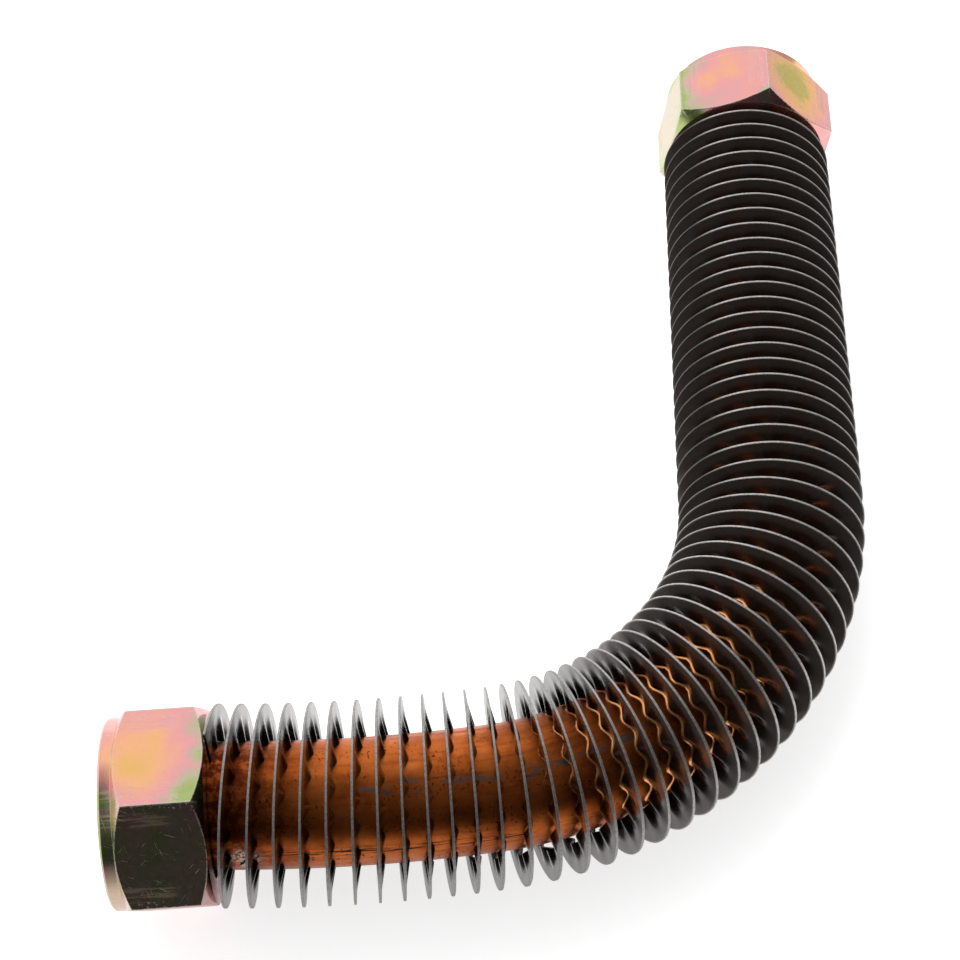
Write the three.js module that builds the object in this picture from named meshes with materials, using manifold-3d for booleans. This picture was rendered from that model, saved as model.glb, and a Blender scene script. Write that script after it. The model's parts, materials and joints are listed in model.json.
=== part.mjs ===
// The finned discharge tube of an air compressor, lying flat as it comes to rest.
// A copper tube with flared ends carries a steel strip, wound round it on edge as one left-handed
// cooling fin. The strip's foot is crimped into waves, because the foot has less way to go round
// than the rim. A loose union nut hangs behind the flare at each end of the tube.
//
// Lengths are in millimetres and angles in degrees. Z is up and the tube's centreline lies in one
// level plane. The lower arm starts along +X and the upper arm ends along +Y.
// The tube and the strip are first made straight, with their axis along +Y from the lower end, and
// then bent together. Angles round the tube are counted from the inside of the bend, up over the top.
import * as THREE from "three";
import { mergeVertices } from "three/addons/utils/BufferGeometryUtils.js";
import Module from "manifold-3d";

const wasm = await Module();
wasm.setup();

// Route of the tube, from its lower end to its upper end.
const LOWER_STRAIGHT = 8.75;
const LOWER_ARC_RADIUS = 301.4;
const LOWER_ARC_LENGTH = 50.1;
const BEND_RADIUS = 61.3;
const TOTAL_TURN = 90;
const UPPER_STRAIGHT = 102.55;

// Copper tube.
const TUBE_DIAMETER = 22;
const TUBE_WALL = 1.25;
const FLARE_RISE = 1.5;
const FLARE_ANGLE = 45;
const FLARE_LIP = 0.5;

// Fin strip. The mesh has slightly fewer and wider crimps than the real strip's thirteen a turn.
const FIN_PITCH = 4;
const STRIP_WIDTH = 6.25;
const STRIP_THICKNESS = 0.4;
const STRIP_SEAT_GAP = 0.25;
const CRIMPS_PER_TURN = 12;
const CRIMP_DEPTH = 0.9;
const CRIMP_RUN_IN = 40;
const STRIP_START_ANGLE = 75;
const LOWER_STRIP_GAP = 0.75;
const UPPER_STRIP_GAP = 1.8;

// Union nut: a hexagon with a round collar at its mouth, a bored shoulder and a threaded socket.
// The shoulder runs on the tube and the thread's crests clear the flare, each with a play of its own.
// The wall stands between those crests and the flats. Cuts run a little past the faces.
const NUT_WALL = 2.45;
const NUT_HEX_LENGTH = 15.3;
const NUT_CHAMFER_LENGTH = 1.8;
const COLLAR_STEP = 0.1;
const COLLAR_LENGTH = 2.35;
const COLLAR_EDGE = 0.4;
const SHOULDER_PLAY = 1.15;
const SHOULDER_LENGTH = 5;
const SOCKET_PLAY = 1.7;
const MOUTH_CHAMFER = 0.8;
const CUT_PAST = 1;
const TUBE_END_RECESS = 7.65;

// How each nut lies, by the play in its bore. The lower one hangs askew on the tube. The upper one
// is lifted against the tube and has slid back towards the fin.
const LOWER_NUT_CORNER_ANGLE = 114;
const LOWER_NUT_TILT = 5.15;
const LOWER_NUT_INWARD_SHIFT = -0.1;
const LOWER_NUT_DROP = 0.59;
const UPPER_NUT_CORNER_ANGLE = 100.8;
const UPPER_NUT_LIFT = 0.85;
const UPPER_NUT_SLIDE = 0.57;

// Solder tacks that hold the first and the last turn of the strip to the tube.
const TACK_LENGTH = 1.6;
const TACK_WIDTH = 2.4;
const TACK_HEIGHT = 0.6;
const TACK_SEAT_GAP = 0.25;
const LOWER_TACK_ANGLE = 182;
const UPPER_TACK_ANGLE = 270;

// Fineness of the round forms.
const TUBE_SIDES = 20;
const NUT_SIDES = 36;
const BEND_STEP = 6;

const UP = new THREE.Vector3(0, 0, 1);
const radians = THREE.MathUtils.degToRad;

// Sizes that follow from those above.
const tubeRadius = TUBE_DIAMETER / 2;
const flareRadius = tubeRadius + FLARE_RISE;
const stripFootRadius = tubeRadius + STRIP_SEAT_GAP;
const finRadius = stripFootRadius + STRIP_WIDTH;
const shoulderRadius = tubeRadius + SHOULDER_PLAY;
const socketRadius = flareRadius + SOCKET_PLAY;
const nutFlatRadius = socketRadius + NUT_WALL;
const nutCornerRadius = (2 * nutFlatRadius) / Math.sqrt(3);
const collarRadius = nutFlatRadius - COLLAR_STEP;
const lowerArcTurn = LOWER_ARC_LENGTH / LOWER_ARC_RADIUS;
const bendTurn = radians(TOTAL_TURN) - lowerArcTurn;
const bendLength = BEND_RADIUS * bendTurn;
const tubeLength = LOWER_STRAIGHT + LOWER_ARC_LENGTH + bendLength + UPPER_STRAIGHT;
const nutLength = NUT_HEX_LENGTH + COLLAR_LENGTH;
const nutRearDepth = nutLength - TUBE_END_RECESS;
const stripStart = nutRearDepth + LOWER_STRIP_GAP;
const stripEnd = tubeLength - nutRearDepth - UPPER_STRIP_GAP;
const stripTurns = (stripEnd - stripStart) / FIN_PITCH;
const stepsPerTurn = 2 * CRIMPS_PER_TURN;

// The route as a chain of straight lines and arcs, each with its length and its turn to the left.
const route = [
  { length: LOWER_STRAIGHT, turn: 0 },
  { length: LOWER_ARC_LENGTH, turn: lowerArcTurn },
  { length: bendLength, turn: bendTurn },
  { length: UPPER_STRAIGHT, turn: 0 },
];

// Moves a pose of the centreline forward by a length along a line or an arc.
function advance(pose, length, turn) {
  const chord = turn === 0 ? length : (2 * length * Math.sin(turn / 2)) / turn;
  const middle = pose.heading + turn / 2;
  return {
    x: pose.x + chord * Math.cos(middle),
    y: pose.y + chord * Math.sin(middle),
    heading: pose.heading + turn,
  };
}

// The centre of the tube at a distance from its lower end, with the directions along the tube and
// to the inside of the bend. Past either end it goes straight on.
function frameAt(distance) {
  let pose = { x: 0, y: 0, heading: 0 };
  let rest = distance;
  route.forEach((piece, i) => {
    const last = i === route.length - 1;
    const part = last || rest < piece.length ? rest : piece.length;
    pose = advance(pose, part, (piece.turn * part) / piece.length);
    rest -= part;
  });
  const along = new THREE.Vector3(Math.cos(pose.heading), Math.sin(pose.heading), 0);
  const inward = new THREE.Vector3(-along.y, along.x, 0);
  return { centre: new THREE.Vector3(pose.x, pose.y, 0), along, inward };
}

// A point of the straight workpiece, whose x runs to the outside of the bend to come.
function workpiecePoint(angle, radius, distance) {
  return new THREE.Vector3(-radius * Math.cos(angle), distance, radius * Math.sin(angle));
}

// Bends a straight workpiece along the route.
function bent(geometry) {
  const at = geometry.attributes.position;
  for (let i = 0; i < at.count; i++) {
    const { centre, inward } = frameAt(at.getY(i));
    centre.addScaledVector(inward, -at.getX(i)).addScaledVector(UP, at.getZ(i));
    at.setXYZ(i, centre.x, centre.y, centre.z);
  }
  return onlyPositions(geometry);
}

function onlyPositions(geometry) {
  geometry.deleteAttribute("normal");
  geometry.deleteAttribute("uv");
  const merged = mergeVertices(geometry, 1e-4);
  merged.computeVertexNormals();
  return merged;
}

function toSolid(geometry) {
  const bare = geometry.clone();
  bare.deleteAttribute("normal");
  bare.deleteAttribute("uv");
  const merged = mergeVertices(bare, 1e-4);
  return new wasm.Manifold(
    new wasm.Mesh({
      numProp: 3,
      vertProperties: merged.attributes.position.array,
      triVerts: new Uint32Array(merged.index.array),
    }),
  );
}

function toGeometry(solid) {
  const mesh = solid.getMesh();
  const geometry = new THREE.BufferGeometry();
  geometry.setAttribute("position", new THREE.BufferAttribute(mesh.vertProperties, 3));
  geometry.setIndex(new THREE.BufferAttribute(mesh.triVerts, 1));
  geometry.computeVertexNormals();
  return geometry;
}

// A closed profile of [radius, height] pairs, listed anticlockwise, turned round the Y axis.
function turned(profile, sides) {
  const points = [...profile, profile[0]].map(([r, y]) => new THREE.Vector2(r, y));
  return new THREE.LatheGeometry(points, sides);
}

// Distances along the tube where its wall needs a ring of vertices.
function tubeStations() {
  const bendSteps = Math.ceil(THREE.MathUtils.radToDeg(bendTurn) / BEND_STEP);
  const arcSteps = Math.ceil(THREE.MathUtils.radToDeg(lowerArcTurn) / (BEND_STEP / 2));
  const arcEnd = LOWER_STRAIGHT + LOWER_ARC_LENGTH;
  const stations = [];
  for (let i = 0; i < arcSteps; i++) {
    stations.push(LOWER_STRAIGHT + (LOWER_ARC_LENGTH * i) / arcSteps);
  }
  for (let i = 0; i <= bendSteps; i++) {
    stations.push(arcEnd + (bendLength * i) / bendSteps);
  }
  return stations;
}

// The tube with its two flares. The bore is the outside moved in by the wall, flares included.
function copperTube() {
  const flareEnd = FLARE_LIP + FLARE_RISE / Math.tan(radians(FLARE_ANGLE));
  const outside = [
    [flareRadius, 0],
    [flareRadius, FLARE_LIP],
    [tubeRadius, flareEnd],
    ...tubeStations().map((distance) => [tubeRadius, distance]),
    [tubeRadius, tubeLength - flareEnd],
    [flareRadius, tubeLength - FLARE_LIP],
    [flareRadius, tubeLength],
  ];
  const inside = outside.map(([radius, distance]) => [radius - TUBE_WALL, distance]);
  return bent(turned([...outside, ...inside.reverse()], TUBE_SIDES));
}

// Angle round the tube of the strip after a number of turns. It falls, so the helix is left-handed.
function stripAngle(turns) {
  return radians(STRIP_START_ANGLE) - 2 * Math.PI * turns;
}

// Depth of the crimps at the foot, which fades to nothing towards both ends of the strip.
function crimpDepth(turns) {
  const fromEnd = Math.min(turns, stripTurns - turns) * 360;
  return CRIMP_DEPTH * THREE.MathUtils.smoothstep(fromEnd, 0, CRIMP_RUN_IN);
}

// Where the foot lies along the tube: the crimps swing it to either side in a zigzag.
function footDistance(turns) {
  const phase = (turns * CRIMPS_PER_TURN) % 1;
  const zigzag = 1 - 4 * Math.abs(phase - 0.5);
  return stripStart + turns * FIN_PITCH + crimpDepth(turns) * zigzag;
}

// The strip as a row of four-cornered sections, two corners at the rim and two at the foot.
function finStrip() {
  const chordShare = Math.cos(Math.PI / stepsPerTurn);
  const footRadius = stripFootRadius / chordShare;
  const half = STRIP_THICKNESS / 2;
  const steps = Math.ceil(stripTurns * stepsPerTurn);
  const corners = [];
  const faces = [];
  for (let i = 0; i <= steps; i++) {
    const turns = Math.min(i / stepsPerTurn, stripTurns);
    const angle = stripAngle(turns);
    const rim = stripStart + turns * FIN_PITCH;
    const foot = footDistance(turns);
    corners.push(
      workpiecePoint(angle, footRadius, foot - half),
      workpiecePoint(angle, finRadius, rim - half),
      workpiecePoint(angle, finRadius, rim + half),
      workpiecePoint(angle, footRadius, foot + half),
    );
  }
  for (let i = 0; i < steps; i++) {
    for (let k = 0; k < 4; k++) {
      const a = 4 * i + k;
      const b = 4 * i + ((k + 1) % 4);
      faces.push(a, b, a + 4, b, b + 4, a + 4);
    }
  }
  const end = 4 * steps;
  faces.push(2, 1, 0, 3, 2, 0, end, end + 1, end + 2, end, end + 2, end + 3);
  const geometry = new THREE.BufferGeometry().setFromPoints(corners);
  geometry.setIndex(faces);
  return bent(geometry);
}

// The nut about the Y axis, from its rear face at the origin to its mouth.
function unionNut() {
  const seatEnd = SHOULDER_LENGTH + socketRadius - shoulderRadius;

  const hexagon = new THREE.Shape();
  for (let i = 0; i < 6; i++) {
    const angle = (i * Math.PI) / 3;
    const corner = [nutCornerRadius * Math.cos(angle), nutCornerRadius * Math.sin(angle)];
    if (i === 0) hexagon.moveTo(...corner);
    else hexagon.lineTo(...corner);
  }
  hexagon.closePath();
  const prism = new THREE.ExtrudeGeometry(hexagon, { depth: nutLength, bevelEnabled: false });
  prism.rotateX(-Math.PI / 2);

  const envelope = turned(
    [
      [0, 0],
      [nutFlatRadius, 0],
      [nutCornerRadius, NUT_CHAMFER_LENGTH],
      [nutCornerRadius, NUT_HEX_LENGTH - NUT_CHAMFER_LENGTH],
      [collarRadius, NUT_HEX_LENGTH],
      [collarRadius, nutLength - COLLAR_EDGE],
      [collarRadius - COLLAR_EDGE, nutLength],
      [0, nutLength],
    ],
    NUT_SIDES,
  );
  const hollow = turned(
    [
      [0, -CUT_PAST],
      [shoulderRadius, -CUT_PAST],
      [shoulderRadius, SHOULDER_LENGTH],
      [socketRadius, seatEnd],
      [socketRadius, nutLength - MOUTH_CHAMFER],
      [socketRadius + MOUTH_CHAMFER + CUT_PAST, nutLength + CUT_PAST],
      [0, nutLength + CUT_PAST],
    ],
    NUT_SIDES,
  );
  return toGeometry(toSolid(prism).intersect(toSolid(envelope)).subtract(toSolid(hollow)));
}

// A low bead that hugs the tube, midway between two turns of the strip's foot.
function solderTack(turnsBefore) {
  const tack = new THREE.SphereGeometry(1, 12, 8);
  const at = tack.attributes.position;
  const middleAngle = stripAngle(turnsBefore);
  const middle = footDistance(turnsBefore) + FIN_PITCH / 2;
  const innerRadius = tubeRadius + TACK_SEAT_GAP;
  for (let i = 0; i < at.count; i++) {
    const angle = middleAngle + (at.getX(i) * TACK_WIDTH) / 2 / innerRadius;
    const radius = innerRadius + ((1 + at.getZ(i)) * TACK_HEIGHT) / 2;
    const distance = middle + (at.getY(i) * TACK_LENGTH) / 2;
    at.setXYZ(i, ...workpiecePoint(angle, radius, distance));
  }
  return bent(tack);
}

// Turns made by the strip when it passes an angle round the tube, after at least so many turns.
function turnsAtAngle(angle, atLeast) {
  const share = (((STRIP_START_ANGLE - angle) % 360) + 360) % 360;
  const first = share / 360;
  return first + Math.max(0, Math.ceil(atLeast - first));
}

// Places a nut with its rear face at a point of the tube and its mouth along a direction. The
// corner angle is the place of one corner of the hexagon round the tube.
function placeNut(mesh, rear, mouth, inward, cornerAngle) {
  const up = new THREE.Vector3().crossVectors(mouth, inward);
  if (up.z < 0) up.negate();
  const angle = radians(cornerAngle);
  const corner = inward.clone().multiplyScalar(Math.cos(angle)).addScaledVector(up, Math.sin(angle));
  const third = new THREE.Vector3().crossVectors(corner, mouth);
  mesh.position.copy(rear);
  mesh.quaternion.setFromRotationMatrix(new THREE.Matrix4().makeBasis(corner, mouth, third));
  return mesh;
}

function lowerNutPlacement(mesh) {
  const seat = frameAt(nutRearDepth);
  const tilt = radians(LOWER_NUT_TILT);
  const mouth = seat.along.clone().negate().applyAxisAngle(UP, tilt);
  const inward = seat.inward.clone().applyAxisAngle(UP, tilt);
  const rear = seat.centre
    .clone()
    .addScaledVector(seat.inward, LOWER_NUT_INWARD_SHIFT)
    .addScaledVector(UP, -LOWER_NUT_DROP);
  return placeNut(mesh, rear, mouth, inward, LOWER_NUT_CORNER_ANGLE);
}

function upperNutPlacement(mesh) {
  const seat = frameAt(tubeLength - nutRearDepth - UPPER_NUT_SLIDE);
  const rear = seat.centre.clone().addScaledVector(UP, UPPER_NUT_LIFT);
  return placeNut(mesh, rear, seat.along, seat.inward, UPPER_NUT_CORNER_ANGLE);
}

function material(color, roughness) {
  return new THREE.MeshStandardMaterial({ color, roughness, metalness: 1 });
}

const copper = material(0xb5561f, 0.4);
const darkSteel = material(0x55555a, 0.3);
const yellowZinc = material(0xd8a878, 0.35);
const solder = material(0xb8b6b0, 0.45);

function named(name, geometry, finish) {
  const mesh = new THREE.Mesh(geometry, finish);
  mesh.name = name;
  return mesh;
}

const tube = new THREE.Group();
tube.add(
  named("copper_tube", copperTube(), copper),
  named("fin_strip", finStrip(), darkSteel),
  named("lower_solder_tack", solderTack(turnsAtAngle(LOWER_TACK_ANGLE, 0)), solder),
  named("upper_solder_tack", solderTack(turnsAtAngle(UPPER_TACK_ANGLE, stripTurns - 2)), solder),
  lowerNutPlacement(named("lower_union_nut", unionNut(), yellowZinc)),
  upperNutPlacement(named("upper_union_nut", unionNut(), yellowZinc)),
);

// The origin is the middle of the footprint, at the height of the lowest point.
const part = new THREE.Group();
part.add(tube);
part.updateMatrixWorld(true);
const extent = new THREE.Box3().setFromObject(part, true);
const centre = extent.getCenter(new THREE.Vector3());
tube.position.set(-centre.x, -centre.y, -extent.min.z);

export default part;
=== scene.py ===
# The finned discharge tube of an air compressor: bent copper tube, crimped steel fin, two union nuts.
# Everything is in metres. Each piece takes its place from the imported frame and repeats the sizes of
# the part: the tube and the fin are laid out straight and then bent along the tube's route.
import json
import math

import bmesh
import bpy
import numpy as np
from mathutils import Euler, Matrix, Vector


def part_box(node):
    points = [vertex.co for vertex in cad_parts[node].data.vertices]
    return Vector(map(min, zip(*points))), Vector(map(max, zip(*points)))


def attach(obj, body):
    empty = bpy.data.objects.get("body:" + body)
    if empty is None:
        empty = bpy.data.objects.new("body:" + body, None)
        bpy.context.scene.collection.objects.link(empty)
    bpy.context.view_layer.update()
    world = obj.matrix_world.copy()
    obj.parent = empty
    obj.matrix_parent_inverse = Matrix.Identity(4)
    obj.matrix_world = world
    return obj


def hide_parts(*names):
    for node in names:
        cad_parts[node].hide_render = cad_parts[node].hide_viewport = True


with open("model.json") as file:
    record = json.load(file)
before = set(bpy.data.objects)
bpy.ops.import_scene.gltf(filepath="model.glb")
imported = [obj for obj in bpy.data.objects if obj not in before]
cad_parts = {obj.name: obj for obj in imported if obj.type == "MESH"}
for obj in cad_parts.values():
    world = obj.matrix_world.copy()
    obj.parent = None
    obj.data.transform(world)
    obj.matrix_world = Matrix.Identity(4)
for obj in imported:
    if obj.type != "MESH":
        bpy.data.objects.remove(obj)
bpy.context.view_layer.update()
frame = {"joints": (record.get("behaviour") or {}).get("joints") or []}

MM = 0.001
UP = np.array([0.0, 0.0, 1.0])
INSIDE_OF_BEND = np.array([-1.0, 1.0, 0.0])
WELD_DISTANCE = 1e-7
TOLERANCE = 1e-9

# The camera, fitted to the photograph. Its place is counted from the middle of the tube's lower mouth.
CAMERA_OFFSET = Vector((64.56, -159.93, 316.07)) * MM
CAMERA_TURN = Euler((math.radians(36.072), math.radians(0.862), math.radians(1.361)))
FOCAL_LENGTH_IN_WIDTHS = 2028.2 / 960
SENSOR_WIDTH = 36.0

# Route of the tube, from its lower end.
LOWER_STRAIGHT = 8.75 * MM
LOWER_ARC_RADIUS = 301.4 * MM
LOWER_ARC_LENGTH = 50.1 * MM
BEND_RADIUS = 61.3 * MM
UPPER_STRAIGHT = 102.55 * MM
LOWER_ARC_TURN = LOWER_ARC_LENGTH / LOWER_ARC_RADIUS
BEND_TURN = math.pi / 2 - LOWER_ARC_TURN
BEND_START = LOWER_STRAIGHT + LOWER_ARC_LENGTH
BEND_END = BEND_START + BEND_RADIUS * BEND_TURN
TUBE_LENGTH = BEND_END + UPPER_STRAIGHT

TUBE_RADIUS = 11.0 * MM
TUBE_WALL = 1.25 * MM
FLARE_RADIUS = 12.5 * MM
FLARE_LIP = 0.5 * MM
FLARE_ROUNDING = 0.12 * MM
FLARE_BLEND = 0.05 * MM
TUBE_SIDES = 96
TUBE_STEP = 2.0 * MM

# Marks on the tube, and the painted shade and the painted highlight in the bend, as angles round it, counted
# from the inside of the bend up over the top.
STREAK_ANGLE = math.radians(167)
SMEAR_ANGLE = math.radians(108)
SOLDER_SMEAR_ANGLE = math.radians(170)
PAINTED_SHADE_ANGLES = (math.radians(118), math.radians(88))
PAINTED_HIGHLIGHT_ANGLES = (math.radians(55), math.radians(80))

# The fin: a strip wound on edge. Its foot swings to and fro in crimps and leans to one side of the rim.
FIN_RADIUS = 17.5 * MM
FIN_PITCH = 4.0 * MM
STRIP_THICKNESS = 0.4 * MM
STRIP_ROUNDING = 0.03 * MM
FOOT_CLEARANCE = 0.05 * MM
STRIP_START_ANGLE = math.radians(75)
STRIP_START = 10.75 * MM
STRIP_END = TUBE_LENGTH - 11.8 * MM
STRIP_TURNS = (STRIP_END - STRIP_START) / FIN_PITCH
CRIMPS_PER_TURN = 13.28
STEPS_PER_CRIMP = 10
CRIMP_DEPTH = 0.62 * MM
CRIMP_REACH = 4.4 * MM
CRIMP_RUN_IN = 0.1
CRIMP_ZERO_TURN = 4.861
FOOT_LEAN = 0.45 * MM

# A low ledge of copper drawn up along the strip's foot in the bend: height over the tube and place at
# the foot in mm, and the turns at which it starts, is full, begins to fade and ends.
LEDGE_SECTION = ((-0.04, -0.54), (0.08, -0.36), (0.16, -0.17), (0.20, 0.04), (-0.04, 0.04))
LEDGE_HEIGHT = 0.20 * MM
LEDGE_TURNS = (13.0, 17.5, 26.0, 32.0)
LEDGE_STEPS_PER_CRIMP = 6

# Below the outside of the bend the foot stands off the tube: how far, over which turns, and where.
FOOT_LIFT = 1.15 * MM
FOOT_LIFT_TURNS = (7.0, 12.0, 14.5, 17.0)
FOOT_LIFT_ANGLES = (150, 185, 230, 270)

# How far the wound turns stand from an even pitch: the turn, and the shift along the tube in mm.
TURN_DRIFT = (
    (0, -0.9),
    (1, -0.8),
    (2, -0.33),
    (4, 0.03),
    (6, 0.4),
    (9, 0.42),
    (10, 0.25),
    (13, 0.03),
    (17, -0.38),
    (21, -0.5),
    (25, -0.3),
    (29, 0.08),
    (31, 0.18),
    (33, 0.5),
    (36.5, 0.92),
    (38, 0.8),
    (41, 0.28),
    (45, -0.14),
    (47, -0.42),
    (49, -0.25),
    (57, -0.27),
)

# How far the crimps stand from an even row: the turn, and the shift as a share of one crimp.
CRIMP_SHIFT = (
    (0, 0.2),
    (3, 0.06),
    (5, -0.25),
    (7, -0.45),
    (9.5, -0.64),
    (13, -0.8),
    (17, -0.84),
    (18.5, -0.62),
    (57, -0.64),
)

# The union nuts. Heights count from the rear face.
NUT_SIDES = 144
NUT_ACROSS_FLATS = 33.3 * MM
NUT_HEX_LENGTH = 15.3 * MM
NUT_CHAMFER_LENGTH = 1.8 * MM
COLLAR_RADIUS = 16.55 * MM
NUT_LENGTH = 17.65 * MM
COLLAR_EDGE = 0.4 * MM
HEX_RINGS = 9
FIRST_HEX_RING = 3
LAST_HEX_RING = FIRST_HEX_RING + HEX_RINGS - 1
CHAMFER_LIP = 0.08 * MM
REAR_BORE_CHAMFER = 0.3 * MM
REAR_FACE_MARGIN = 0.1 * MM
COLLAR_FILLET = (0.02 * MM, 0.15 * MM)
FAR_FROM_CHAMFER = 9.0
EDGE_BEVEL = 0.14 * MM
SHOULDER_BORE_RADIUS = 12.15 * MM
SHOULDER_LENGTH = 5.0 * MM
THREAD_MINOR_RADIUS = 14.2 * MM
THREAD_DEPTH = 0.8 * MM
THREAD_PITCH = 1.5 * MM
THREAD_STEPS = 8
MOUTH_CHAMFER = 0.8 * MM

# A solder tack, as its reach round the tube, along it and upwards, and how far its middle stands off.
TACK_ROUND = 1.3 * MM
TACK_ALONG = 1.05 * MM
TACK_HEIGHT = 0.22 * MM
TACK_RISE = 0.2 * MM

TUBE_LOW, TUBE_HIGH = (Vector(corner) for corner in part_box("copper_tube"))
TUBE_START = np.array([TUBE_LOW.x, TUBE_LOW.y + FLARE_RADIUS, (TUBE_LOW.z + TUBE_HIGH.z) / 2])


# Route


def route(distance):
    """Centre, direction and inward side of the tube at distances from its lower end."""
    s = np.asarray(distance, dtype=float)
    straight = np.minimum(s, LOWER_STRAIGHT)
    arc = np.clip(s - LOWER_STRAIGHT, 0, LOWER_ARC_LENGTH) / LOWER_ARC_RADIUS
    bend = np.clip(s - BEND_START, 0, BEND_END - BEND_START) / BEND_RADIUS
    last = np.maximum(s - BEND_END, 0)
    heading = arc + bend
    x = straight + LOWER_ARC_RADIUS * np.sin(arc)
    y = LOWER_ARC_RADIUS * (1 - np.cos(arc))
    x = x + BEND_RADIUS * (np.sin(heading) - np.sin(arc)) + last * np.cos(heading)
    y = y + BEND_RADIUS * (np.cos(arc) - np.cos(heading)) + last * np.sin(heading)
    level = np.zeros_like(s)
    centre = TUBE_START + np.stack([x, y, level], -1)
    along = np.stack([np.cos(heading), np.sin(heading), level], -1)
    inward = np.stack([-np.sin(heading), np.cos(heading), level], -1)
    return centre, along, inward


def round_tube(angle, radius, distance):
    """Points at angles round the tube, counted from the inside of the bend up over the top."""
    centre, _, inward = route(distance)
    across = np.cos(angle)[..., None] * inward + np.sin(angle)[..., None] * UP
    return centre + np.asarray(radius)[..., None] * across


# Meshes


def make_object(name, vertices, faces, material):
    """A mesh object from an array of points and a list or array of faces."""
    mesh = bpy.data.meshes.new(name)
    mesh.from_pydata(vertices.reshape(-1, 3).tolist(), [], [list(f) for f in faces])
    mesh.validate()
    mesh.materials.append(material)
    piece = bpy.data.objects.new(name, mesh)
    bpy.context.scene.collection.objects.link(piece)
    return piece


def grid_faces(rows, columns, close_rows=False, close_columns=False):
    """Quads of a grid of points, row by row, that may close on itself either way."""
    row = np.arange(rows if close_rows else rows - 1)
    column = np.arange(columns if close_columns else columns - 1)
    r, c = np.meshgrid(row, column, indexing="ij")
    next_r = (r + 1) % rows
    next_c = (c + 1) % columns
    corners = [r * columns + c, r * columns + next_c, next_r * columns + next_c, next_r * columns + c]
    return np.stack(corners, -1).reshape(-1, 4)


def set_uv(piece, u, v):
    """Writes one UV pair for each point. A face that crosses the seam keeps a continuous u."""
    mesh = piece.data
    layer = mesh.uv_layers.new(name="UVMap")
    corner = np.empty(len(mesh.loops), dtype=np.int32)
    mesh.loops.foreach_get("vertex_index", corner)
    uv = np.stack([u.ravel()[corner], v.ravel()[corner]], -1)
    layer.data.foreach_set("uv", uv.astype(np.float32).ravel())


def set_number(piece, name, values):
    layer = piece.data.attributes.new(name, "FLOAT", "POINT")
    layer.data.foreach_set("value", np.asarray(values, dtype=np.float32).ravel())


def smooth(piece, limit_degrees):
    """Smooth shading, with hard edges where faces meet at more than the limit."""
    mesh = piece.data
    mesh.polygons.foreach_set("use_smooth", np.ones(len(mesh.polygons), dtype=bool))
    mesh.set_sharp_from_angle(angle=math.radians(limit_degrees))


def weld(piece):
    """Joins the points where a turned grid meets itself."""
    work = bmesh.new()
    work.from_mesh(piece.data)
    bmesh.ops.remove_doubles(work, verts=work.verts, dist=WELD_DISTANCE)
    work.to_mesh(piece.data)
    work.free()


def face_out(piece):
    """Turns the faces of a closed mesh outwards."""
    work = bmesh.new()
    work.from_mesh(piece.data)
    bmesh.ops.recalc_face_normals(work, faces=work.faces)
    work.to_mesh(piece.data)
    work.free()


# Shader building


def new_material(name):
    """A material with its node tree and its Principled shader."""
    material = bpy.data.materials.new(name)
    material.use_nodes = True
    tree = material.node_tree
    return material, tree, tree.nodes["Principled BSDF"]


def add(tree, kind, inputs=None, **settings):
    """A node whose inputs are values or other nodes' outputs."""
    node = tree.nodes.new(kind)
    for key, value in settings.items():
        setattr(node, key, value)
    for key, value in (inputs or {}).items():
        if isinstance(value, bpy.types.NodeSocket):
            tree.links.new(value, node.inputs[key])
        else:
            node.inputs[key].default_value = value
    return node


def noise(tree, vector, scale, detail=4.0, roughness=0.5, distortion=0.0):
    settings = {"Vector": vector, "Scale": scale, "Detail": detail, "Roughness": roughness}
    settings["Distortion"] = distortion
    return add(tree, "ShaderNodeTexNoise", settings).outputs["Fac"]


def stretch(tree, vector, scale):
    return add(tree, "ShaderNodeVectorMath", {0: vector, 1: scale}, operation="MULTIPLY").outputs[0]


def band(tree, value, low, high, to_low=0.0, to_high=1.0):
    """A smooth step of a number from one level to another."""
    inputs = {"Value": value, "From Min": low, "From Max": high, "To Min": to_low, "To Max": to_high}
    return add(tree, "ShaderNodeMapRange", inputs, interpolation_type="SMOOTHSTEP").outputs[0]


def combine(tree, operation, a, b):
    return add(tree, "ShaderNodeMath", {0: a, 1: b}, operation=operation).outputs[0]


def times(tree, a, b):
    return combine(tree, "MULTIPLY", a, b)


def larger(tree, a, b):
    return combine(tree, "MAXIMUM", a, b)


def apart(tree, value, middle):
    """How far a number is from another."""
    return combine(tree, "ABSOLUTE", combine(tree, "SUBTRACT", value, middle), 0)


def distance_from(tree, place, middle):
    return add(tree, "ShaderNodeVectorMath", {0: place, 1: middle}, operation="DISTANCE").outputs["Value"]


def attribute(tree, name):
    """A number that the mesh carries at its points."""
    return add(tree, "ShaderNodeAttribute", attribute_name=name).outputs["Fac"]


def grey_stops(levels):
    """The stops of a ramp in greys, from (place, level) pairs."""
    return [(at, (level, level, level)) for at, level in levels]


def blend_colour(tree, share, under, over, mode="MIX"):
    inputs = {0: share, 6: under, 7: over}
    return add(tree, "ShaderNodeMix", inputs, data_type="RGBA", blend_type=mode).outputs[2]


def ramp(tree, value, stops):
    """A colour ramp of (place, colour) stops."""
    node = add(tree, "ShaderNodeValToRGB", {"Fac": value})
    elements = node.color_ramp.elements
    while len(elements) < len(stops):
        elements.new(0.5)
    for element, (place, colour) in zip(elements, stops):
        element.position = place
        element.color = (*colour, 1.0)
    return node.outputs["Color"]


def bump(tree, height, distance, strength=1.0, under=None):
    inputs = {"Height": height, "Distance": distance, "Strength": strength}
    if under is not None:
        inputs["Normal"] = under
    return add(tree, "ShaderNodeBump", inputs).outputs["Normal"]


def connect(tree, output, shader, name):
    tree.links.new(output, shader.inputs[name])


# Materials


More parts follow.
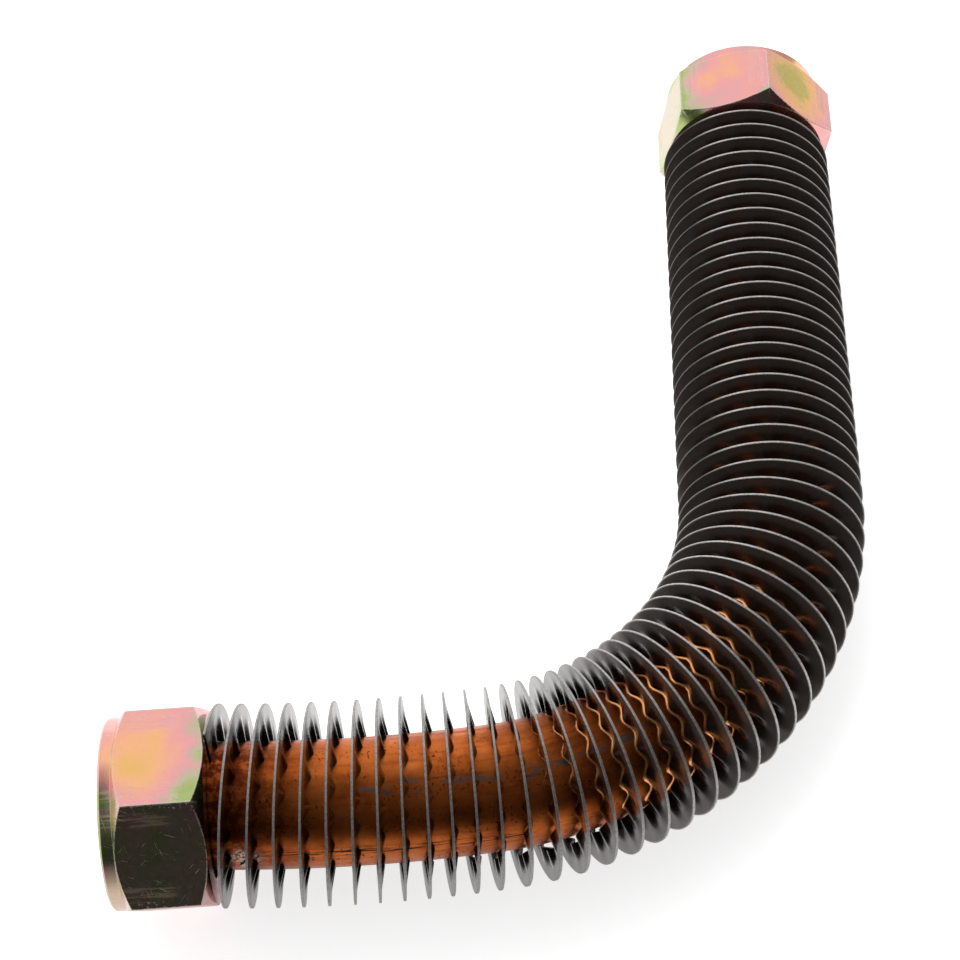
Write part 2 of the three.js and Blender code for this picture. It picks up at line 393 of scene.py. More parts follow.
def copper_material(lower_tack):
    """Drawn copper with a warm oxide film, black specks, dark streaks, silvery smears and a solder stain,
    with painted shade inside the bend and a painted highlight along the polished ledge.

    The pattern lies on the unrolled tube: X is the length round it and Y the length along it.
    """
    brown_streak = (0.36, 0.08, 0.02, 1.0)
    stain = (0.13, 0.018, 0.006, 1.0)
    black_speck = (0.03, 0.012, 0.006, 1.0)
    black_line = (0.035, 0.018, 0.012, 1.0)
    grey_smear = (0.22, 0.20, 0.19, 1.0)
    painted_bend_shade = (0.17, 0.040, 0.010, 1.0)
    solder_stain = (0.52, 0.48, 0.44, 1.0)
    ledge_painted_highlight = (1.0, 0.43, 0.17, 1.0)

    material, tree, shader = new_material("oxidised_copper")
    place = add(tree, "ShaderNodeUVMap", uv_map="UVMap").outputs[0]
    parts = add(tree, "ShaderNodeSeparateXYZ", {0: place})
    around, along = parts.outputs["X"], parts.outputs["Y"]
    angle = combine(tree, "DIVIDE", around, TUBE_RADIUS)

    cloud = noise(tree, place, 160.0, detail=7.0, roughness=0.65)
    streak = noise(tree, stretch(tree, place, (900.0, 60.0, 1.0)), 1.0, detail=5.0)
    stops = [
        (0.30, (0.42, 0.085, 0.014)),
        (0.50, (0.68, 0.165, 0.032)),
        (0.72, (0.84, 0.235, 0.055)),
    ]
    colour = ramp(tree, cloud, stops)
    colour = blend_colour(tree, band(tree, streak, 0.52, 0.72, 0.0, 0.45), colour, brown_streak)

    blotch = noise(tree, place, 420.0, detail=5.0, roughness=0.7)
    lower_end = band(tree, along, 0.030, 0.012)
    mottle = times(tree, lower_end, band(tree, blotch, 0.40, 0.55, 0.35, 1.0))
    colour = blend_colour(tree, mottle, colour, stain)

    speck_noise = noise(tree, place, 1700.0, detail=3.0, roughness=0.6)
    speck_zone = noise(tree, stretch(tree, place, (260.0, 110.0, 1.0)), 1.0, detail=3.0)
    specks = times(tree, band(tree, speck_noise, 0.56, 0.66), band(tree, speck_zone, 0.45, 0.62))
    colour = blend_colour(tree, specks, colour, black_speck)

    line_place = stretch(tree, place, (2600.0, 130.0, 1.0))
    line_noise = noise(tree, line_place, 1.0, detail=4.0, roughness=0.6)
    near_line = band(tree, apart(tree, around, STREAK_ANGLE * TUBE_RADIUS), 0.0016, 0.0002)
    line = times(tree, near_line, band(tree, line_noise, 0.48, 0.58))
    line = times(tree, line, band(tree, along, 0.085, 0.055))
    colour = blend_colour(tree, line, colour, black_line)

    smear_place = stretch(tree, place, (700.0, 240.0, 1.0))
    smear_noise = noise(tree, smear_place, 1.0, detail=6.0, roughness=0.75)
    near_row = band(tree, apart(tree, around, SMEAR_ANGLE * TUBE_RADIUS), 0.0020, 0.0004)
    smear_zone = times(tree, near_row, band(tree, along, 0.02, 0.04))
    smear_noise = combine(tree, "ADD", smear_noise, times(tree, smear_zone, 0.11))
    smear = band(tree, smear_noise, 0.63, 0.67, 0.0, 0.85)
    colour = blend_colour(tree, smear, colour, grey_smear)

    # Painted shade: in the bend, the copper on the inner side is darkened where the fins would shade it.
    in_bend = band(tree, along, 0.052, 0.080)
    painted_shade_share = times(tree, in_bend, band(tree, angle, *PAINTED_SHADE_ANGLES, 0.0, 0.78))
    colour = blend_colour(tree, painted_shade_share, colour, painted_bend_shade)

    away = distance_from(tree, place, (SOLDER_SMEAR_ANGLE * TUBE_RADIUS, lower_tack, 0.0))
    silver = times(tree, band(tree, away, 0.0034, 0.0010), band(tree, speck_noise, 0.46, 0.56))
    colour = blend_colour(tree, silver, colour, solder_stain)

    # Polished copper on the ledge, with a painted highlight: it is brightened only in part of the bend and
    # over a range of angles round the tube, and its roughness is lowered there.
    polish_and_painted_highlight = times(tree, band(tree, along, 0.058, 0.082), attribute(tree, "ledge"))
    polish_and_painted_highlight = times(tree, polish_and_painted_highlight, band(tree, angle, *PAINTED_HIGHLIGHT_ANGLES))
    colour = blend_colour(tree, polish_and_painted_highlight, colour, ledge_painted_highlight)
    connect(tree, colour, shader, "Base Color")
    shader.inputs["Metallic"].default_value = 1.0
    roughness = band(tree, streak, 0.2, 0.8, 0.26, 0.44)
    roughness = combine(tree, "SUBTRACT", roughness, times(tree, polish_and_painted_highlight, 0.16))
    connect(tree, roughness, shader, "Roughness")
    relief = bump(tree, streak, 0.00003, 0.5)
    connect(tree, bump(tree, speck_noise, 0.00003, 0.5, relief), shader, "Normal")
    return material


def fin_material():
    """Rolled steel: a bright rim with painted shade on its sides along the upper arm, faces that turn dark
    with oil, painted shade deepening towards the foot, and a painted highlight on the crests of the folds.

    The strip's depth runs from 0 at the rim to 1 at the foot and its way from 0 to 1 along its length.
    """
    warm_white = (1.0, 0.965, 0.94, 1.0)
    oil = (0.110, 0.084, 0.068, 1.0)
    painted_shade_black = (0.022, 0.018, 0.016, 1.0)
    painted_shade_brown = (0.075, 0.050, 0.039, 1.0)
    painted_crest_highlight = (0.72, 0.71, 0.69, 1.0)

    material, tree, shader = new_material("rolled_steel_strip")
    place = add(tree, "ShaderNodeTexCoord").outputs["Object"]
    depth = attribute(tree, "depth")
    crest = attribute(tree, "crest")
    way = attribute(tree, "way")
    inwards = attribute(tree, "inwards")
    cloud = noise(tree, place, 260.0, detail=5.0)
    grain = noise(tree, place, 2500.0, detail=2.0)

    rim_grey = band(tree, way, 0.22, 0.5, 0.50, 0.66)
    rim_grey = times(tree, rim_grey, band(tree, grain, 0.3, 0.7, 0.8, 1.2))
    # Painted shade: on the upper arm the rims are darkened on the sides facing into and away from the bend.
    inner_side_shade = band(tree, inwards, 0.40, 0.80, 0.0, 0.84)
    outer_side_shade = band(tree, inwards, -0.45, -0.90, 0.0, 0.45)
    upper_arm = band(tree, way, 0.45, 0.62)
    painted_side_shade = times(tree, combine(tree, "ADD", inner_side_shade, outer_side_shade), upper_arm)
    rim_grey = times(tree, rim_grey, combine(tree, "SUBTRACT", 1.0, painted_side_shade))
    rim = add(tree, "ShaderNodeCombineXYZ", {0: rim_grey, 1: rim_grey, 2: rim_grey}).outputs[0]
    rim = blend_colour(tree, 1.0, rim, warm_white, "MULTIPLY")

    oiled = band(tree, way, 0.24, 0.42, 0.0, 0.85)
    on_face = band(tree, depth, 0.01, 0.06)
    face = ramp(tree, cloud, [(0.3, (0.25, 0.245, 0.24)), (0.7, (0.37, 0.365, 0.355))])
    face = blend_colour(tree, oiled, face, oil)
    colour = blend_colour(tree, on_face, rim, face)
    # Painted shade: the faces darken towards the foot, deep between the turns.
    painted_foot_shade = band(tree, depth, 0.28, 0.55, 0.0, 0.94)
    colour = blend_colour(tree, painted_foot_shade, colour, blend_colour(tree, oiled, painted_shade_black, painted_shade_brown))
    # Painted highlight on the crests of the folds, fading out along the strip.
    painted_fold_highlight = times(tree, band(tree, depth, 0.26, 0.42), band(tree, crest, 0.74, 0.92))
    painted_fold_highlight = times(tree, painted_fold_highlight, band(tree, way, 0.24, 0.38, 1.0, 0.03))
    colour = blend_colour(tree, painted_fold_highlight, colour, painted_crest_highlight)
    connect(tree, colour, shader, "Base Color")

    oil_film = times(tree, times(tree, oiled, on_face), 0.88)
    connect(tree, combine(tree, "SUBTRACT", 1.0, oil_film), shader, "Metallic")
    shader.inputs["Specular IOR Level"].default_value = 0.3
    connect(tree, band(tree, depth, 0.0, 0.05, 0.52, 0.22), shader, "Roughness")
    on_rim = combine(tree, "LESS_THAN", depth, 0.03)
    connect(tree, bump(tree, times(tree, grain, on_rim), 0.00006, 0.7), shader, "Normal")
    return material


# The film on each nut, as (flat, height, reach, shift): the middle of a spot on the unrolled nut, its size
# in flats, and how much thinner or thicker the film is there.
LOWER_NUT_SPOTS = (
    (5.52, 0.58, 0.60, -0.38),
    (5.92, 0.10, 0.42, 0.36),
    (5.15, 0.02, 0.28, 0.28),
    (5.50, 0.00, 0.22, 0.26),
    (0.50, 0.45, 1.50, 0.22),
    (0.30, 0.97, 0.60, 0.30),
    (5.95, 1.00, 0.30, 0.40),
)
UPPER_NUT_SPOTS = (
    (5.24, 0.48, 0.34, -0.38),
    (5.55, 0.68, 0.38, -0.24),
    (0.42, 0.48, 0.72, -0.58),
    (4.50, 0.45, 1.10, 0.62),
    (5.02, 0.02, 0.34, 0.34),
    (6.00, 0.02, 0.24, 0.22),
    (0.00, 0.02, 0.24, 0.22),
)

# The film's colour, from thin to thick.
FILM_COLOURS = (
    (0.00, (0.62, 0.50, 0.13)),
    (0.10, (0.92, 0.54, 0.19)),
    (0.22, (1.00, 0.52, 0.27)),
    (0.36, (0.97, 0.45, 0.36)),
    (0.50, (0.92, 0.42, 0.43)),
    (0.62, (0.76, 0.46, 0.42)),
    (0.72, (0.60, 0.54, 0.36)),
    (0.84, (0.42, 0.54, 0.18)),
    (1.00, (0.62, 0.53, 0.36)),
)

# Scratches, as the direction of each set on the unrolled nut and how short its lines are.
SCRATCHES = ((0.3, 2.4), (1.2, 3.4), (2.4, 4.0))


def film_thickness(tree, unrolled, place, spots):
    """The chromate film's thickness: clouds, and spots where it is thinner or thicker."""
    cloud = noise(tree, place, 110.0, detail=5.0, distortion=0.4)
    film = band(tree, cloud, 0.25, 0.75, 0.42, 0.58)
    ragged_edge = band(tree, noise(tree, place, 300.0, detail=4.0), 0.3, 0.7, -0.05, 0.05)
    thicker = thinner = 0.0
    for flat, height, reach, shift in spots:
        away = combine(tree, "ADD", distance_from(tree, unrolled, (flat, height, 0.0)), ragged_edge)
        spot = band(tree, away, reach, 0.1 * reach, 0.0, shift)
        if shift > 0:
            thicker = larger(tree, thicker, spot)
        else:
            thinner = combine(tree, "MINIMUM", thinner, spot)
    return combine(tree, "ADD", film, combine(tree, "ADD", thicker, thinner))


def zinc_material(name, spots):
    """Yellow chromate on zinc, with worn edges that also carry a painted highlight, chips, scratches and
    patches rubbed by a spanner.
    """
    rubbed_zinc = (0.95, 0.60, 0.46, 1.0)
    scratched_zinc = (0.80, 0.77, 0.70, 1.0)
    worn_zinc_and_edge_highlight = (0.86, 0.84, 0.76, 1.0)

    material, tree, shader = new_material(name)
    unrolled = add(tree, "ShaderNodeUVMap", uv_map="UVMap").outputs[0]
    parts = add(tree, "ShaderNodeSeparateXYZ", {0: unrolled})
    place = add(tree, "ShaderNodeTexCoord").outputs["Object"]
    colour = ramp(tree, film_thickness(tree, unrolled, place, spots), FILM_COLOURS)

    on_flat = attribute(tree, "on_flat")
    from_corner = combine(tree, "PINGPONG", parts.outputs["X"], 0.5)
    from_chamfer = combine(tree, "ABSOLUTE", attribute(tree, "from_chamfer"), 0)
    fine = noise(tree, place, 1500.0, detail=3.0)
    # Worn edges with a painted highlight: a thin light line runs along the corners and the chamfer borders,
    # together with real chips and worn dots.
    corner = times(tree, band(tree, from_corner, 0.016, 0.004), on_flat)
    edge_wear_and_highlight = larger(tree, corner, band(tree, from_chamfer, 0.22, 0.05))
    edge_wear_and_highlight = times(tree, edge_wear_and_highlight, band(tree, fine, 0.25, 0.55))
    near_corner = times(tree, band(tree, from_corner, 0.13, 0.02), on_flat)
    chips = times(tree, band(tree, fine, 0.60, 0.66), near_corner)
    dots = band(tree, noise(tree, place, 1250.0, detail=2.0), 0.80, 0.85, 0.0, 0.4)
    wear_and_edge_highlight = larger(tree, larger(tree, edge_wear_and_highlight, chips), dots)

    scratch = 0.0
    for turn, shortness in SCRATCHES:
        mapped = add(tree, "ShaderNodeMapping", {"Vector": unrolled, "Rotation": (0.0, 0.0, turn)})
        line = noise(tree, stretch(tree, mapped.outputs[0], (shortness, 80.0, 1.0)), 1.0, detail=2.0)
        scratch = larger(tree, scratch, band(tree, line, 0.68, 0.74))

    rubbed_noise = noise(tree, stretch(tree, unrolled, (30.0, 1.6, 1.0)), 1.0, detail=4.0)
    rubbed_zone = times(tree, band(tree, from_corner, 0.03, 0.07), band(tree, from_corner, 0.25, 0.17))
    rubbed_zone = times(tree, rubbed_zone, band(tree, parts.outputs["Y"], 0.15, 0.40))
    rubbed = times(tree, band(tree, rubbed_noise, 0.42, 0.55), rubbed_zone)

    colour = blend_colour(tree, times(tree, rubbed, 0.3), colour, rubbed_zinc)
    colour = blend_colour(tree, times(tree, scratch, 0.35), colour, scratched_zinc)
    colour = blend_colour(tree, times(tree, wear_and_edge_highlight, 0.55), colour, worn_zinc_and_edge_highlight)
    connect(tree, colour, shader, "Base Color")
    shader.inputs["Metallic"].default_value = 1.0
    pits = noise(tree, place, 1100.0, detail=3.0, roughness=0.6)
    rough = band(tree, pits, 0.3, 0.7, 0.15, 0.21)
    for wear, roughness in ((rubbed, 0.32), (scratch, 0.55), (wear_and_edge_highlight, 0.5)):
        rough = larger(tree, rough, times(tree, wear, roughness))
    connect(tree, rough, shader, "Roughness")
    connect(tree, bump(tree, pits, 0.00001, 0.4), shader, "Normal")
    return material


def solder_material():
    """Dull tin solder with a pebbled skin."""
    material, tree, shader = new_material("dull_solder")
    place = add(tree, "ShaderNodeTexCoord").outputs["Object"]
    grain = noise(tree, place, 1600.0, detail=4.0)
    stops = [(0.35, (0.16, 0.12, 0.09)), (0.5, (0.55, 0.50, 0.45)), (0.65, (0.86, 0.84, 0.80))]
    connect(tree, ramp(tree, grain, stops), shader, "Base Color")
    shader.inputs["Metallic"].default_value = 1.0
    connect(tree, band(tree, grain, 0.3, 0.7, 0.3, 0.5), shader, "Roughness")
    connect(tree, bump(tree, grain, 0.0001, 0.5), shader, "Normal")
    return material


# Pieces


def rod_faces(rows, columns):
    """Faces of a closed rod whose rows of points are its sections."""
    last = (rows - 1) * columns
    ends = [list(range(columns)), [last + i for i in reversed(range(columns))]]
    return grid_faces(rows, columns, close_columns=True).tolist() + ends


def strip_rows(steps_per_crimp):
    """Turns along the strip in even steps, with the angle round the tube at each."""
    steps = int(round(STRIP_TURNS * CRIMPS_PER_TURN * steps_per_crimp))
    turns = np.linspace(0, STRIP_TURNS, steps + 1)
    return turns, STRIP_START_ANGLE - 2 * math.pi * turns


def rim_distance(turns):
    """How far along the tube the strip's rim is."""
    return STRIP_START + turns * FIN_PITCH + np.interp(turns, *np.transpose(TURN_DRIFT)) * MM


def crimp_wave(turns):
    """Swing of the crimps from -1 to 1. It fades at both ends and differs a little from one to the next."""
    rng = np.random.default_rng(7)
    count = CRIMPS_PER_TURN * (turns - CRIMP_ZERO_TURN) - np.interp(turns, *np.transpose(CRIMP_SHIFT))
    knots = np.arange(math.ceil(STRIP_TURNS * CRIMPS_PER_TURN) + 2)
    uneven = np.interp(turns * CRIMPS_PER_TURN, knots, rng.uniform(0.8, 1.0, len(knots)))
    fade = np.clip(np.minimum(turns, STRIP_TURNS - turns) / CRIMP_RUN_IN, 0, 1)
    return np.cos(2 * math.pi * count) * fade * uneven


def foot_lift(turns, angle):
    """How far the foot stands off the tube."""
    lifted_turn = np.interp(turns, FOOT_LIFT_TURNS, (0, 1, 1, 0))
    lifted_side = np.interp(np.degrees(angle) % 360, FOOT_LIFT_ANGLES, (0, 1, 1, 0))
    return FOOT_LIFT * lifted_turn * lifted_side


def ledge_along_foot():
    """Points, faces, angles and distances of the copper ledge on the near side of the strip's foot."""
    turns, angle = strip_rows(LEDGE_STEPS_PER_CRIMP)
    in_bend = (turns >= LEDGE_TURNS[0]) & (turns <= LEDGE_TURNS[-1])
    turns, angle = turns[in_bend], angle[in_bend]
    foot = rim_distance(turns) + FOOT_LEAN + CRIMP_DEPTH * crimp_wave(turns) - STRIP_THICKNESS / 2
    height, beside = np.transpose(LEDGE_SECTION) * MM
    buried = 1.1 * LEDGE_HEIGHT
    missing = buried * (1 - np.interp(turns, LEDGE_TURNS, (0, 1, 1, 0)))
    sunk = np.minimum(foot_lift(turns, angle) + missing, buried)
    radius = TUBE_RADIUS + height - sunk[:, None]
    distance = foot[:, None] + beside
    around = np.repeat(angle[:, None], len(height), 1)
    return round_tube(around, radius, distance), rod_faces(len(turns), len(height)), around, distance


def build_tube(material):
    """The tube with its flared ends, turned round its axis and bent along the route, and the ledge on it."""
    flare_end = FLARE_LIP + FLARE_RADIUS - TUBE_RADIUS
    start = [
        (FLARE_RADIUS - FLARE_ROUNDING, 0.0),
        (FLARE_RADIUS, FLARE_ROUNDING),
        (FLARE_RADIUS, FLARE_LIP),
        (TUBE_RADIUS + FLARE_BLEND, flare_end - FLARE_BLEND),
        (TUBE_RADIUS, flare_end + 2 * FLARE_BLEND),
    ]
    margin = flare_end + TUBE_STEP / 2
    body = [(TUBE_RADIUS, s) for s in np.arange(margin, TUBE_LENGTH - margin, TUBE_STEP)]
    end = [(r, TUBE_LENGTH - s) for r, s in reversed(start)]
    outside = start + body + end
    inside = [(r - TUBE_WALL, s) for r, s in reversed(outside)]
    profile = np.array(outside + inside)
    angle = -math.pi / 2 + 2 * math.pi * np.arange(TUBE_SIDES + 1) / TUBE_SIDES
    a, k = np.meshgrid(angle, np.arange(len(profile)), indexing="ij")
    points = round_tube(a, profile[k, 0], profile[k, 1]).reshape(-1, 3)
    faces = grid_faces(TUBE_SIDES + 1, len(profile), close_columns=True).tolist()

    ledge_points, ledge_faces, ledge_angle, ledge_distance = ledge_along_foot()
    faces += [[len(points) + i for i in face] for face in ledge_faces]
    points = np.concatenate([points, ledge_points.reshape(-1, 3)])
    piece = make_object("bent_copper_tube", points, faces, material)
    around = np.concatenate([a.ravel(), ledge_angle.ravel() % (2 * math.pi)])
    along = np.concatenate([profile[k, 1].ravel(), ledge_distance.ravel()])
    set_uv(piece, around * TUBE_RADIUS, along)
    set_number(piece, "ledge", np.concatenate([np.zeros(a.size), np.ones(ledge_angle.size)]))
    weld(piece)
    face_out(piece)
    smooth(piece, 35)
    return piece


def build_fin(material):
    """The strip wound on edge: a flat rim, and a foot crimped into waves."""
    turns, angle = strip_rows(STEPS_PER_CRIMP)
    wave = crimp_wave(turns)
    half = STRIP_THICKNESS / 2
    near_side = [
        (FIN_RADIUS, half - STRIP_ROUNDING),
        (FIN_RADIUS - STRIP_ROUNDING, half),
        (TUBE_RADIUS + CRIMP_REACH, half),
        (TUBE_RADIUS + 0.7 * CRIMP_REACH, half),
        (TUBE_RADIUS + 0.4 * CRIMP_REACH, half),
        (TUBE_RADIUS + FOOT_CLEARANCE, half),
    ]
    section = near_side + [(r, -h) for r, h in reversed(near_side)]
    radius, side = np.transpose(section)
    foldedness = np.clip((TUBE_RADIUS + CRIMP_REACH - radius) / CRIMP_REACH, 0, 1)
    depth = np.clip((FIN_RADIUS - radius) / (FIN_RADIUS - TUBE_RADIUS), 0, 1)
    swing = CRIMP_DEPTH * wave[:, None] * foldedness + FOOT_LEAN * depth
    distance = rim_distance(turns)[:, None] + side + swing
    lifted = radius + foot_lift(turns, angle)[:, None] * foldedness
    rows, columns = len(turns), len(section)
    points = round_tube(np.repeat(angle[:, None], columns, 1), lifted, distance)
    piece = make_object("crimped_fin_strip", points, rod_faces(rows, columns), material)
    set_number(piece, "depth", np.tile(depth, rows))
    set_number(piece, "crest", wave[:, None] * np.sign(side))
    set_number(piece, "way", np.repeat(turns / STRIP_TURNS, columns))
    set_number(piece, "inwards", np.repeat(np.cos(angle), columns))
    face_out(piece)
    smooth(piece, 25)
    return piece


def nut_profile(hex_radius):
    """Radius and height of the nut's outer rings, from the rear bore to the edge of the socket."""
    slope = NUT_CHAMFER_LENGTH / (NUT_ACROSS_FLATS / math.sqrt(3) - NUT_ACROSS_FLATS / 2)
    low = (hex_radius - NUT_ACROSS_FLATS / 2) * slope + CHAMFER_LIP
    high = NUT_HEX_LENGTH - low
    one = np.ones_like(hex_radius)
    rear = [
        (SHOULDER_BORE_RADIUS * one, REAR_BORE_CHAMFER * one),
        ((SHOULDER_BORE_RADIUS + REAR_BORE_CHAMFER) * one, 0 * one),
        ((NUT_ACROSS_FLATS / 2 - REAR_FACE_MARGIN) * one, 0 * one),
    ]
    hexagon = [(hex_radius, low + (high - low) * share) for share in np.linspace(0, 1, HEX_RINGS)]
    collar = [
        ((COLLAR_RADIUS + COLLAR_FILLET[0]) * one, NUT_HEX_LENGTH * one),
        (COLLAR_RADIUS * one, (NUT_HEX_LENGTH + COLLAR_FILLET[1]) * one),
        (COLLAR_RADIUS * one, (NUT_LENGTH - COLLAR_EDGE) * one),
        ((COLLAR_RADIUS - COLLAR_EDGE) * one, NUT_LENGTH * one),
        ((THREAD_MINOR_RADIUS + MOUTH_CHAMFER) * one, NUT_LENGTH * one),
    ]
    return rear + hexagon + collar


def socket_profile(around):
    """Radius and height of the rings in the socket: the thread from the mouth down, and the seat."""
    one = np.ones_like(around)
    seat_end = SHOULDER_LENGTH + THREAD_MINOR_RADIUS - SHOULDER_BORE_RADIUS
    rings = []
    for height in np.arange(NUT_LENGTH - MOUTH_CHAMFER, seat_end + 1 * MM, -THREAD_PITCH / THREAD_STEPS):
        turn = (height / THREAD_PITCH - around / (2 * math.pi)) % 1
        tooth = np.clip(1.6 - 4 * np.abs(turn - 0.5), 0, 1)
        rings.append((THREAD_MINOR_RADIUS + THREAD_DEPTH * (1 - tooth), height * one))
    seat = [(THREAD_MINOR_RADIUS * one, seat_end * one), (SHOULDER_BORE_RADIUS * one, SHOULDER_LENGTH * one)]
    return rings + seat


def build_nut(name, joint, corner_angle, material):
    """A hexagon nut with turned chamfers, a round collar and a threaded socket."""
    around = 2 * math.pi * np.arange(NUT_SIDES + 1) / NUT_SIDES
    hex_radius = NUT_ACROSS_FLATS / 2 / np.cos(around % (math.pi / 3) - math.pi / 6)
    rings = nut_profile(hex_radius) + socket_profile(around)
    radius = np.array([r for r, _ in rings])
    height = np.array([h for _, h in rings])

    joint_facts = next(entry for entry in frame["joints"] if entry["name"] == joint)
    rear = np.array(joint_facts["pos_m"])
    mouth = np.array(joint_facts["axis"], dtype=float)
    mouth /= np.linalg.norm(mouth)
    inward = np.cross(UP, mouth)
    inward *= np.sign(inward @ INSIDE_OF_BEND)
    angle = corner_angle + around
    across = np.cos(angle)[:, None] * inward + np.sin(angle)[:, None] * UP
    points = rear + height[..., None] * mouth + radius[..., None] * across[None]
    piece = make_object(name, points, grid_faces(len(rings), NUT_SIDES + 1, close_rows=True), material)

    set_uv(piece, np.tile(around * 3 / math.pi, (len(rings), 1)), height / NUT_LENGTH)
    first, last = height[FIRST_HEX_RING], height[LAST_HEX_RING]
    on_hexagon = (height >= first - TOLERANCE) & (height <= last + TOLERANCE)
    on_flat = on_hexagon & (radius >= hex_radius - TOLERANCE)
    inner = radius < NUT_ACROSS_FLATS / 2 - 2 * REAR_FACE_MARGIN
    from_chamfer = np.minimum(height - first, last - height) / MM
    set_number(piece, "from_chamfer", np.where(inner, FAR_FROM_CHAMFER, from_chamfer))
    set_number(piece, "on_flat", on_flat)
    weld(piece)
    face_out(piece)
    smooth(piece, 25)
    edges = piece.modifiers.new("edges", "BEVEL")
    edges.width = EDGE_BEVEL
    edges.segments = 2
    edges.limit_method = "ANGLE"
    edges.angle_limit = math.radians(30)
    return piece


def build_tack(name, angle, distance, seed, material):
    """A lumpy bead of solder that hugs the tube."""
    rng = np.random.default_rng(seed)
    rows, columns = 17, 32
    polar = np.linspace(0, math.pi, rows)[:, None] * np.ones((1, columns))
    around = np.ones((rows, 1)) * (2 * math.pi * np.arange(columns) / columns)[None]
    lumps = sum(
        rng.uniform(0.05, 0.14) * np.sin(k * around + rng.uniform(0, 6.3)) * np.sin(polar)
        for k in range(2, 7)
    )
    reach = 1 + lumps
    u = reach * np.sin(polar) * np.cos(around)
    v = reach * np.sin(polar) * np.sin(around)
    w = np.cos(polar)
    points = round_tube(
        angle + u * TACK_ROUND / TUBE_RADIUS,
        TUBE_RADIUS + TACK_RISE + TACK_HEIGHT * w,
        distance + v * TACK_ALONG,
    )
    piece = make_object(name, points, grid_faces(rows, columns, close_columns=True), material)
    weld(piece)
    face_out(piece)
    smooth(piece, 180)
    return piece


# Stage

# How bright the floor looks in reflections, by the way from front to back.
FLOOR_FRONT, FLOOR_BACK = -0.4, 0.1
FLOOR_LEVELS = ((0.0, 0.12), (0.4, 0.26), (0.51, 0.42), (0.57, 0.82), (0.64, 1.0), (1.0, 1.0))
FLOOR_REACH = 4.0

# How bright the studio is, by the lean of a direction from the back up and over to the front.
STUDIO_LEVELS = (
    (0.00, 0.07),
    (0.05, 0.60),
    (0.48, 0.95),
    (0.645, 0.95),
    (0.675, 0.62),
    (0.70, 0.46),
    (0.742, 0.23),
    (0.787, 0.155),
    (0.831, 0.115),
    (0.875, 0.08),
    (0.92, 0.045),
    (0.97, 0.035),
)

# What that is multiplied by from the left to the right.
STUDIO_SIDES = ((0.07, 0.2), (0.19, 0.9), (0.30, 1.0), (0.65, 1.0), (0.75, 0.6), (0.89, 0.4), (1.0, 0.3))

# Two bright panels on the left, each as the fading edge of its X and of its Z.
STUDIO_PANELS = (((-0.42, -0.58), (0.1, 0.3)), ((-0.26, -0.40), (0.55, 0.7)))
PANEL_COLOUR = (0.95, 0.95, 0.95, 1.0)
WHITE = (1.0, 1.0, 1.0, 1.0)


def kinds_of_ray(tree):
    """Whether a ray comes from the camera or through glass, and whether it is a reflection."""
    path = add(tree, "ShaderNodeLightPath")
    seen = larger(tree, path.outputs["Is Camera Ray"], path.outputs["Is Transmission Ray"])
    return seen, path.outputs["Is Glossy Ray"]


def build_floor():
    """A white floor that keeps the shadow."""
    material, tree, shader = new_material("white_floor")
    seen, glossy = kinds_of_ray(tree)
    place = add(tree, "ShaderNodeTexCoord").outputs["Object"]
    forward = add(tree, "ShaderNodeSeparateXYZ", {0: place}).outputs["Y"]
    limits = {"Value": forward, "From Min": FLOOR_FRONT, "From Max": FLOOR_BACK}
    share = add(tree, "ShaderNodeMapRange", limits, interpolation_type="LINEAR").outputs[0]
    reflected = ramp(tree, share, grey_stops(FLOOR_LEVELS))
    level = blend_colour(tree, glossy, WHITE, reflected)
    connect(tree, blend_colour(tree, 1.0, level, (0.9, 0.9, 0.9, 1.0), "MULTIPLY"), shader, "Base Color")
    shader.inputs["Roughness"].default_value = 0.9
    connect(tree, level, shader, "Emission Color")
    glow = combine(tree, "ADD", times(tree, seen, 0.75), times(tree, glossy, 0.45))
    connect(tree, glow, shader, "Emission Strength")
    corners = np.array([[-1, -1, 0], [1, -1, 0], [1, 1, 0], [-1, 1, 0]]) * FLOOR_REACH
    make_object("floor", corners, [[0, 1, 2, 3]], material)


def build_studio():
    """A soft studio all round, white where the camera sees it."""
    world = bpy.data.worlds.new("studio")
    bpy.context.scene.world = world
    world.use_nodes = True
    tree = world.node_tree
    background = tree.nodes["Background"]
    seen, _ = kinds_of_ray(tree)
    direction = add(tree, "ShaderNodeTexCoord").outputs["Generated"]
    parts = add(tree, "ShaderNodeSeparateXYZ", {0: direction})
    x, y, z = (parts.outputs[axis] for axis in "XYZ")
    lean = combine(tree, "DIVIDE", combine(tree, "ARCTAN2", z, y), 2 * math.pi)
    studio = ramp(tree, combine(tree, "ADD", lean, 0.5), grey_stops(STUDIO_LEVELS))
    sideways = combine(tree, "DIVIDE", combine(tree, "ADD", x, 1.0), 2.0)
    studio = blend_colour(tree, 1.0, studio, ramp(tree, sideways, grey_stops(STUDIO_SIDES)), "MULTIPLY")
    for x_edge, z_edge in STUDIO_PANELS:
        panel = times(tree, band(tree, x, *x_edge), band(tree, z, *z_edge))
        studio = blend_colour(tree, panel, studio, PANEL_COLOUR)
    connect(tree, blend_colour(tree, seen, studio, WHITE), background, "Color")
    background.inputs["Strength"].default_value = 1.0


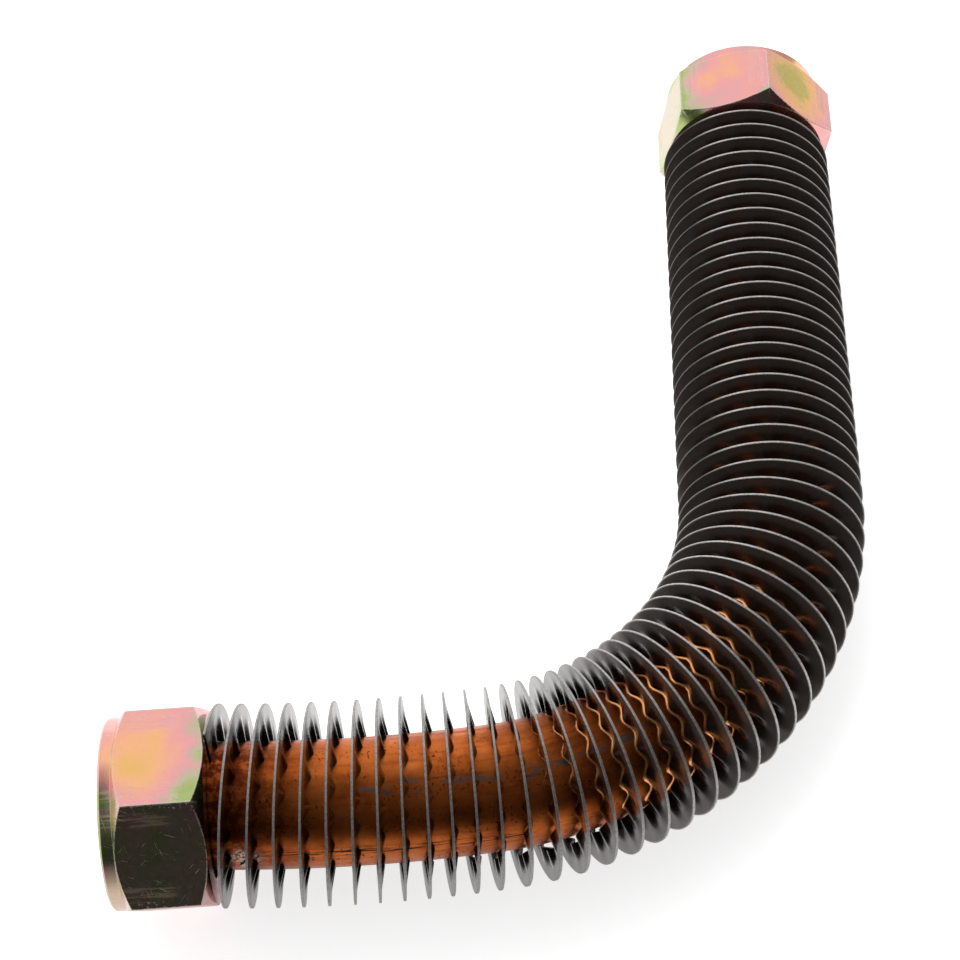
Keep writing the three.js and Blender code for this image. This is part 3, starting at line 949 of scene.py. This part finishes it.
def build_lamp():
    """One large soft lamp from behind and above."""
    lamp = bpy.data.lights.new("softbox", "AREA")
    lamp.size = 0.6
    lamp.energy = 4.0
    holder = bpy.data.objects.new("softbox", lamp)
    holder.location = (-0.25, 0.45, 0.75)
    holder.rotation_euler = (Vector((0, 0, 0)) - holder.location).to_track_quat("-Z", "Y").to_euler()
    holder.visible_glossy = False
    bpy.context.scene.collection.objects.link(holder)


def build_camera():
    data = bpy.data.cameras.new("camera")
    data.sensor_width = SENSOR_WIDTH
    data.lens = SENSOR_WIDTH * FOCAL_LENGTH_IN_WIDTHS
    data.clip_start = 0.01
    camera = bpy.data.objects.new("camera", data)
    camera.location = Vector(TUBE_START) + CAMERA_OFFSET
    camera.rotation_euler = CAMERA_TURN
    bpy.context.scene.collection.objects.link(camera)
    bpy.context.scene.camera = camera


def node_middle(node):
    low, high = (np.array(corner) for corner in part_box(node))
    return (low + high) / 2


def main():
    bpy.context.scene.view_settings.view_transform = "Standard"
    build_camera()
    build_floor()
    build_studio()
    build_lamp()

    # The lower tack lies on the straight start of the tube, the upper one on its straight end.
    lower_tack = node_middle("lower_solder_tack")[0] - TUBE_START[0]
    upper_tack = TUBE_LENGTH - (TUBE_HIGH.y - node_middle("upper_solder_tack")[1])

    tube = build_tube(copper_material(lower_tack))
    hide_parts("copper_tube")
    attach(tube, "finned_tube")

    fin = build_fin(fin_material())
    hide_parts("fin_strip")
    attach(fin, "finned_tube")

    nuts = [
        ("lower_nut_body", "lower_union_nut", "lower_nut", math.radians(114), LOWER_NUT_SPOTS),
        ("upper_nut_body", "upper_union_nut", "upper_nut", math.radians(100.8), UPPER_NUT_SPOTS),
    ]
    for name, node, body, corner_angle, spots in nuts:
        nut = build_nut(name, body + "_spin", corner_angle, zinc_material(node + "_zinc", spots))
        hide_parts(node)
        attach(nut, body)

    solder = solder_material()
    tacks = [
        ("lower_solder_bead", "lower_solder_tack", math.radians(182), lower_tack, 1),
        ("upper_solder_bead", "upper_solder_tack", math.radians(270), upper_tack, 2),
    ]
    for name, node, angle, distance, seed in tacks:
        bead = build_tack(name, angle, distance, seed, solder)
        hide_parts(node)
        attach(bead, "finned_tube")


main()
